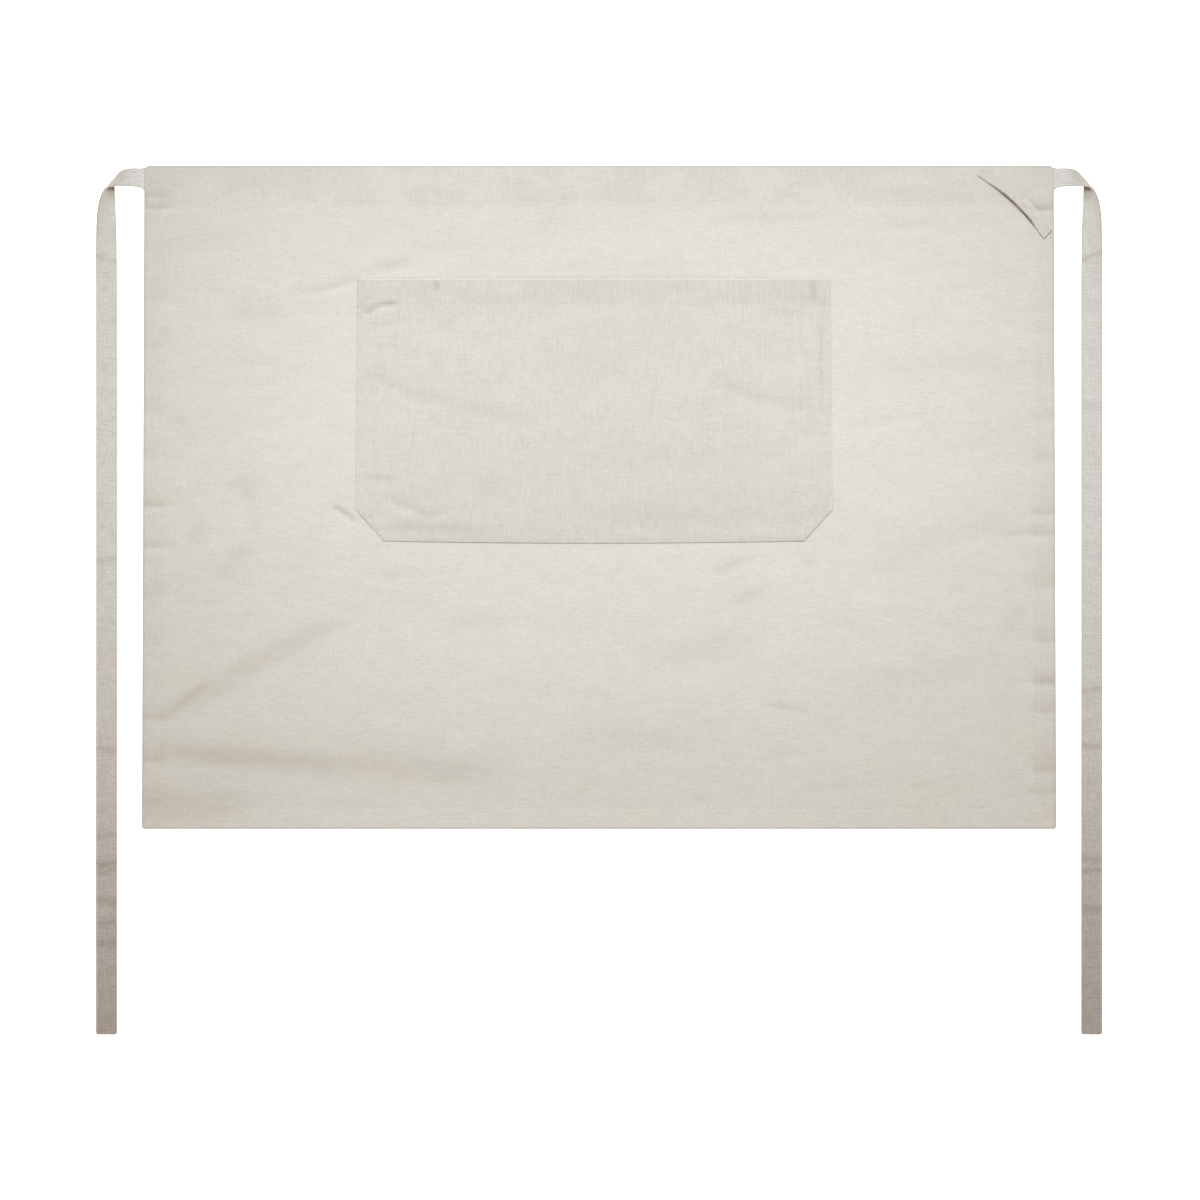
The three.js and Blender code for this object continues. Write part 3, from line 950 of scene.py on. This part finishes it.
def make_tie(side, name):
    """A tie, side being -1 on the left and 1 on the right."""
    shares = between_rims(0, tie_width, [1.6, tie_width - 1.6], 2.0) / tie_width
    stations = np.arange(len(tie_line.run), dtype=float)
    share, station = np.meshgrid(shares if side > 0 else shares[::-1], stations)
    ones = np.ones_like(share)
    top, _ = tie_points(side, station, share, ones)
    under, _ = tie_points(side, station, share, -ones)
    run = np.interp(station, stations, tie_line.run)
    edge = np.minimum(share, 1 - share) * tie_width
    across = np.stack([share * tie_width + 60 * side, run], axis=-1)
    # The rim layer paints shade along the tie's edges, the layer for its end paints shade that darkens
    # it towards its end, and the dark layer paints shade under its fold and in its creases
    layers = {
        "doubled": 1 - ease(run, 12, 34),
        "rim": 1 - ease(edge, 0.3, 1.6),
        "pale": np.full_like(run, 0.7 if side < 0 else 0),
        "painted_shade_towards_end": 1.97 * np.clip(run / tie_bottom - 0.36, 0, 0.67) ** 1.7,
        "dark": tie_shade(side, station, share, run),
    }
    piece = make_cloth(name + "_cloth", top, under, tie_linen, layers, across, every=1)
    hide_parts(name)


def loop_place(along, across):
    """Where a spot of the hanging loop is: along from its upper end, across from its middle."""
    bow = loop_bow * np.sin(math.pi * along / loop_span)
    right = along - loop_span
    up = across + bow
    x = panel_half_width(loop_drop) - loop_inset
    x = x + right * math.cos(loop_slant) + up * math.sin(loop_slant)
    down = loop_drop + right * math.sin(loop_slant) - up * math.cos(loop_slant)
    return x, down


def loop_height(along, across):
    """The height of the loop's underside."""
    x, down = loop_place(along, across)
    loose = np.clip((along - loop_sewn) / (loop_span - 2 * loop_sewn), 0, 1)
    lift = loop_lift * np.sin(math.pi * loose) ** 2 * (1 - 0.25 * across / loop_width)
    return x, down, panel_top(x, down) + cloth_gap + lift


def make_loop():
    """The hanging loop: a narrow strip sewn down at both ends and lifted between them."""
    half = loop_width / 2
    marks = [place + shift for place in loop_stitch_rows for shift in (-0.5, 0, 0.5)]
    marks += [loop_span - mark for mark in marks]
    lengths = between_rims(0, loop_span, marks, 1.2)
    widths = between_rims(-half, half, [-half + 1.6, half - 1.6], 1.2)
    along, across = np.meshgrid(lengths, widths[::-1])
    x, down, height = loop_height(along, across)
    edge = np.minimum(np.minimum(half - np.abs(across), along), loop_span - along)
    drawn_in = loop_cloth / 2 * (1 - rounded(edge, 0.5))
    groove = sum(
        0.22 * np.exp(-(((np.minimum(along, loop_span - along) - place) / 0.5) ** 2))
        for place in loop_stitch_rows
    )
    y = waist_edge - down
    folded_in = ease(along, loop_fold_start, loop_fold_start + 1.5) * ease(across, 0.2, 1.2)
    folded_in *= 1 - ease(along, loop_fold_end - 2, loop_fold_end)
    top = np.stack([x, y, height + loop_cloth - drawn_in - groove + 0.3 * folded_in], axis=-1)
    under = np.stack([x, y, height + drawn_in], axis=-1)
    from_end = np.minimum(along, loop_span - along)
    free = ease(along, 2, 30) * (1 - ease(along, loop_span - 20, loop_span - 9))
    # Painted shadow along the loop's lower edge, and painted shade round its ends, between its rows of
    # stitches and beside its fold
    painted_shadow_edge = 1 - ease(half + across, 0.7, 1.3 + 0.9 * free)
    rows = sum(np.exp(-(((from_end - place - 1.2) / 0.5) ** 2)) for place in loop_stitch_rows)
    painted_shade_at_ends = (1 - ease(from_end, 0.2, 1.0)) * np.where(along > half, 0.4, 0.15)
    painted_shade_beside_fold = np.exp(-(((across + 0.1) / 0.5) ** 2))
    painted_shade_beside_fold *= ease(along, loop_fold_start - 1, loop_fold_start + 2)
    painted_shade_beside_fold *= 1 - ease(along, loop_fold_end - 3, loop_fold_end + 1)
    dark = np.maximum(np.maximum(0.9 * painted_shadow_edge * (0.2 + 0.8 * free), painted_shade_at_ends), 0.13 * rows)
    # The doubled layer here paints the fold's facet paler, a painted highlight
    layers = {
        "doubled": folded_in,
        "rim": np.zeros_like(x),
        "dark": np.maximum(dark, 0.12 * painted_shade_beside_fold),
    }
    lie = np.stack([across, along], axis=-1)
    piece = make_cloth("loop_cloth", top, under, loop_linen, layers, lie, every=1)
    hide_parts("hanging_loop")


def stitches(points, ups, pitch=stitch_pitch, seed=1):
    """Starts, ends and up directions of the stitches along a line."""
    run = np.concatenate([[0], np.cumsum(np.linalg.norm(np.diff(points, axis=0), axis=1))])
    count = int(run[-1] / pitch)
    middles = (np.arange(count) + 0.5) * run[-1] / count
    jitter = np.random.default_rng(seed).uniform(-0.12, 0.12, count)
    middles = middles + jitter

    def pick(values, places):
        return np.stack([np.interp(places, run, values[:, axis]) for axis in range(3)], axis=-1)

    reach = pitch * stitch_share / 2
    return pick(points, middles - reach), pick(points, middles + reach), pick(ups, middles)


def facing_up(points):
    """The up direction at each point of a seam that lies flat."""
    return np.tile([0.0, 0.0, 1.0], (len(points), 1))


def make_stitching(name, seams):
    """All the stitches of some seams as one piece of short closed dashes."""
    starts, ends, ups = (np.concatenate(parts) for parts in zip(*seams))
    way = ends - starts
    side = np.cross(ups, way)
    side = side / np.linalg.norm(side, axis=1, keepdims=True) * thread_radius
    up = ups * thread_radius
    rings = []
    for share, size, lift in ((0, 0.4, -0.6), (0.2, 1, 0.35), (0.8, 1, 0.35), (1, 0.4, -0.6)):
        middle = starts + way * share + up * lift
        ring = [middle + side * size, middle + up * size, middle - side * size, middle - up * size]
        rings.append(np.stack(ring, axis=1))
    points = np.concatenate(rings, axis=1)
    dash = [[0, 1, 2, 3], [15, 14, 13, 12]]
    for first in (0, 4, 8):
        for near, far in ((0, 1), (1, 2), (2, 3), (3, 0)):
            dash.append([first + far, first + near, first + 4 + near, first + 4 + far])
    shift = 16 * np.arange(len(points))[:, None, None]
    faces = (shift + np.array(dash)[None]).reshape(-1, 4).tolist()
    make_piece(name, points.reshape(-1, 3), faces, sewing_thread)


def panel_seam(x, down, back=False, seed=1):
    """A seam on the panel's face, or on its back, through places x and down."""
    height = panel_top(x, down)
    if back:
        height = np.maximum(height - panel_thickness(x, down), 0.45)
    points = np.stack([x, waist_edge - down, height - (0 if back else 0.1)], axis=-1)
    return stitches(points, facing_up(points) * (-1 if back else 1), seed=seed)


def make_panel_stitching():
    """The seams that hold the panel's four hems."""
    seams = []
    for back in (False, True):
        across = np.arange(-half_panel + 3, half_panel - 3, 1.0)
        seams.append(panel_seam(across, np.full_like(across, waist_hem - hem_stitch_in), back, 2))
        low = np.full_like(across, panel_height - bottom_hem + hem_stitch_in)
        seams.append(panel_seam(across, low, back, 3))
        down = np.arange(waist_hem + 2, panel_height - 3, 1.0)
        for side in (-1, 1):
            x = side * (panel_half_width(down) - side_hem_at(side, down) + hem_stitch_in)
            seams.append(panel_seam(x, down, back, 4 + side))
    make_stitching("panel_stitching", seams)


def pocket_seam(across, down, seed, sunk=0.1):
    """A seam on the pocket's face, its thread sunk this far into the cloth."""
    x, below, under, thick = pocket_build(across, down)
    points = np.stack([x, waist_edge - below, under + thick - sunk], axis=-1)
    return stitches(points, facing_up(points), seed=seed)


def make_pocket_stitching():
    """The seam round the pocket's sewn edges and the one along the hem of its mouth."""
    down = np.arange(pocket_stitch_in, pocket_height - pocket_stitch_in, 1.0)
    seams = []
    for side in (-1, 1):
        across = side * (1 - pocket_stitch_in / pocket_half_width(down))
        seams.append(pocket_seam(across, down, 8 + side))
    across = np.linspace(-0.99, 0.99, 330)
    low = np.full_like(across, pocket_height - pocket_stitch_in)
    seams.append(pocket_seam(across, low, 12))
    across = np.linspace(-0.985, 0.985, 380)
    high = np.full_like(across, pocket_hem - pocket_hem_stitch_in)
    seams.append(pocket_seam(across, high, 13, pocket_hem_stitch_sunk))
    make_stitching("pocket_stitching", seams)


def make_tie_stitching(side, name):
    """The seam that closes a tie along its outer edge, on both faces but not round the turn."""
    seams = []
    for face in (1, -1):
        for start, end in ((5, tie_seam_stops), (tie_seam_goes_on, tie_line.run[-1] - 3)):
            chosen = (tie_line.run > start) & (tie_line.run < end)
            stations = np.flatnonzero(chosen).astype(float)
            share = np.full_like(stations, 1 - tie_stitch_in / tie_width)
            points, ups = tie_points(side, stations, share, np.full_like(stations, face))
            seams.append(stitches(points, ups, seed=16 + face))
    make_stitching(name, seams)


def make_loop_stitching():
    """Rows of stitches across each end of the loop and one along its upper edge."""
    seams = []
    across = np.linspace(-loop_width / 2 + 0.8, loop_width / 2 - 0.8, 12)
    for place in loop_stitch_rows:
        for end in (place, loop_span - place):
            x, down, height = loop_height(np.full_like(across, end), across)
            points = np.stack([x, waist_edge - down, height + loop_cloth - 0.2], axis=-1)
            seams.append(stitches(points, facing_up(points), 2.2, 20))
    along = np.arange(9, loop_span - 9, 1.0)
    x, down, height = loop_height(along, np.full_like(along, loop_width / 2 - 1.4))
    points = np.stack([x, waist_edge - down, height + loop_cloth - 0.05], axis=-1)
    seams.append(stitches(points, facing_up(points), 2.4, 21))
    make_stitching("loop_stitching", seams)


def make_table():
    """The white table top under the apron, which isn't part of it."""
    bpy.ops.mesh.primitive_plane_add(size=14, location=(0, 0, 0))
    table = bpy.context.object
    table.name = "table"
    finish = Finish("table_white")
    white = {"Base Color": (0.9, 0.9, 0.9, 1), "Roughness": 0.6}
    glow = {"Emission Color": (1, 1, 1, 1), "Emission Strength": 0.8}
    table.data.materials.append(finish.surface({**white, **glow}))


def make_light():
    """A wide soft lamp beyond the waist edge, kept on the apron, and a warm light from all round."""
    lamp = bpy.data.lights.new("window", "AREA")
    lamp.shape = "RECTANGLE"
    lamp.size = 0.97
    lamp.size_y = 0.4
    lamp.spread = math.radians(20)
    lamp.color = (0.93, 1.03, 1.14)
    lamp.energy = 1.17
    window = bpy.data.objects.new("window", lamp)
    window.location = (0.02, 1.9, 1.35)
    aim = Vector((0.02, 0.157, 0)) - window.location
    window.rotation_euler = aim.to_track_quat("-Z", "Y").to_euler()
    bpy.context.scene.collection.objects.link(window)

    world = bpy.data.worlds.new("room")
    world.use_nodes = True
    world.node_tree.nodes["Background"].inputs["Color"].default_value = (1, 0.94, 0.87, 1)
    world.node_tree.nodes["Background"].inputs["Strength"].default_value = 0.65
    bpy.context.scene.world = world


def make_camera():
    """The camera straight above the middle of the picture, far off with a long lens."""
    far = 8.0
    picture = 1.0674
    camera = bpy.data.cameras.new("above")
    camera.sensor_width = 36
    camera.lens = camera.sensor_width * far / picture
    camera.clip_end = 40
    above = bpy.data.objects.new("above", camera)
    above.location = (0.0008, 0, far)
    bpy.context.scene.collection.objects.link(above)
    bpy.context.scene.camera = above
    bpy.context.scene.view_settings.view_transform = "Standard"


make_camera()
make_table()
make_light()
make_panel()
make_pocket()
make_tie(-1, "tie_left")
make_tie(1, "tie_right")
make_loop()
make_panel_stitching()
make_pocket_stitching()
make_tie_stitching(-1, "tie_left_stitching")
make_tie_stitching(1, "tie_right_stitching")
make_loop_stitching()
